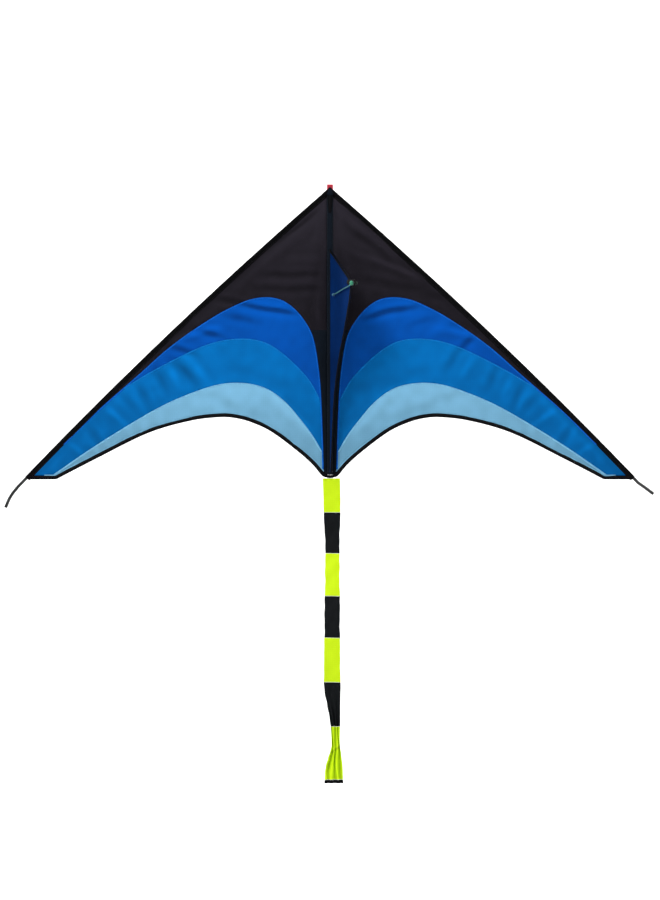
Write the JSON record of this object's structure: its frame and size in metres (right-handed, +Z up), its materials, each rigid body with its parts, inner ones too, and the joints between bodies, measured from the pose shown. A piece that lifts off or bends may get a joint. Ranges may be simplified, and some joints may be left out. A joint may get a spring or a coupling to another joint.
{
  "type": "delta kite",
  "caption": "Single-line delta kite with a banded sail, spar-stiffened leading edges, a removable spreader, a keel fin with a tow leader, and a striped ribbon tail.",
  "frame": {"origin": "middle of the hanging loop's fold at the nose, on the spine's line", "axes": "+Z up the spine to the nose, +X across to the viewer's right with the keel towards the viewer, -Y the keel side"},
  "size_m": [1.6006, 0.175, 1.4745],
  "materials": {
    "sail_black": "matte",
    "sail_royal": "matte",
    "sail_azure": "matte",
    "sail_sky": "matte",
    "keel_blue": "matte",
    "binding": "matte",
    "tail_yellow": "matte",
    "red_webbing": "matte",
    "cord": "matte",
    "rod": "gloss",
    "plastic": "satin",
    "vinyl": "satin",
    "ferrule": "satin",
    "eyelet": "polished"
  },
  "bodies": {
    "spine": {"spine_rod": "rod", "spine_pocket": "sail_black", "nose_loop": "red_webbing", "nose_patch": "binding", "tail_tab": "binding", "spreader_centre_tube": "vinyl"},
    "wing_left": {"sleeve_upper_left": "sail_black", "sleeve_lower_left": "sail_black", "spar_upper_left": "rod", "spar_lower_left": "rod", "spar_ferrule_left": "ferrule", "spar_nose_cap_left": "plastic", "tip_tube_left": "vinyl", "spreader_clip_left": "plastic", "nose_panel_left": "sail_black", "royal_panel_left": "sail_royal", "azure_panel_left": "sail_azure", "sky_panel_left": "sail_sky", "trailing_binding_left": "binding"},
    "wing_right": {"sleeve_upper_right": "sail_black", "sleeve_lower_right": "sail_black", "spar_upper_right": "rod", "spar_lower_right": "rod", "spar_ferrule_right": "ferrule", "spar_nose_cap_right": "plastic", "tip_tube_right": "vinyl", "spreader_clip_right": "plastic", "nose_panel_right": "sail_black", "royal_panel_right": "sail_royal", "azure_panel_right": "sail_azure", "sky_panel_right": "sail_sky", "trailing_binding_right": "binding"},
    "spreader_left": {"spreader_rod_left": "rod"},
    "spreader_right": {"spreader_rod_right": "rod"},
    "keel": {"keel_panel": "keel_blue", "keel_binding_upper": "binding", "keel_binding_lower": "binding", "tow_tab_left": "binding", "tow_tab_right": "binding", "tow_eyelet": "eyelet"},
    "leader": {"tow_leader": "cord", "leader_hitch": "cord", "leader_end_knot": "cord", "leader_stopper": "cord", "leader_through_eyelet": "cord"},
    "tail_1": {"tail_yellow_1": "tail_yellow"},
    "tail_2": {"tail_black_1": "sail_black", "tail_yellow_2": "tail_yellow"},
    "tail_3": {"tail_black_2": "sail_black", "tail_yellow_3": "tail_yellow"},
    "tail_4": {"tail_black_3": "sail_black", "tail_yellow_4": "tail_yellow", "tail_hem": "binding"}
  },
  "joints": [
    {"name": "wing_left_fold", "type": "hinge", "parent": "spine", "child": "wing_left", "pos_m": [0, 0, -0.36], "axis": [0, 0, -1], "range_deg": [0, 60], "stiffness_Nm_per_rad": 0.15, "deforming": ["spreader_centre_tube"]},
    {"name": "wing_right_fold", "type": "hinge", "parent": "spine", "child": "wing_right", "pos_m": [0, 0, -0.36], "axis": [0, 0, 1], "range_deg": [0, 60], "stiffness_Nm_per_rad": 0.15, "deforming": ["spreader_centre_tube"]},
    {"name": "spreader_left_pull", "type": "slide", "parent": "wing_left", "child": "spreader_left", "axis": [1, 0, 0], "range_m": [0, 0.016]},
    {"name": "spreader_right_pull", "type": "slide", "parent": "wing_right", "child": "spreader_right", "axis": [-1, 0, 0], "range_m": [0, 0.016]},
    {"name": "keel_swing", "type": "hinge", "parent": "spine", "child": "keel", "pos_m": [0, -0.0042, -0.4], "axis": [0, 0, 1], "range_deg": [-91, 49]},
    {"name": "leader_swing", "type": "hinge", "parent": "keel", "child": "leader", "pos_m": [0.05734, -0.15357, -0.244], "axis": [-0.9336, -0.3584, 0], "range_deg": [-60, 180]},
    {"name": "tail_bend_1", "type": "hinge", "parent": "spine", "child": "tail_1", "pos_m": [0, 0, -0.7165], "axis": [1, 0, 0], "range_deg": [-30, 30]},
    {"name": "tail_bend_2", "type": "hinge", "parent": "tail_1", "child": "tail_2", "pos_m": [0, 0, -0.8005], "axis": [1, 0, 0], "range_deg": [-30, 30]},
    {"name": "tail_bend_3", "type": "hinge", "parent": "tail_2", "child": "tail_3", "pos_m": [0, 0, -1.0065], "axis": [1, 0, 0], "range_deg": [-30, 30]},
    {"name": "tail_bend_4", "type": "hinge", "parent": "tail_3", "child": "tail_4", "pos_m": [0, 0, -1.2185], "axis": [1, 0, 0], "range_deg": [-30, 30]}
  ]
}
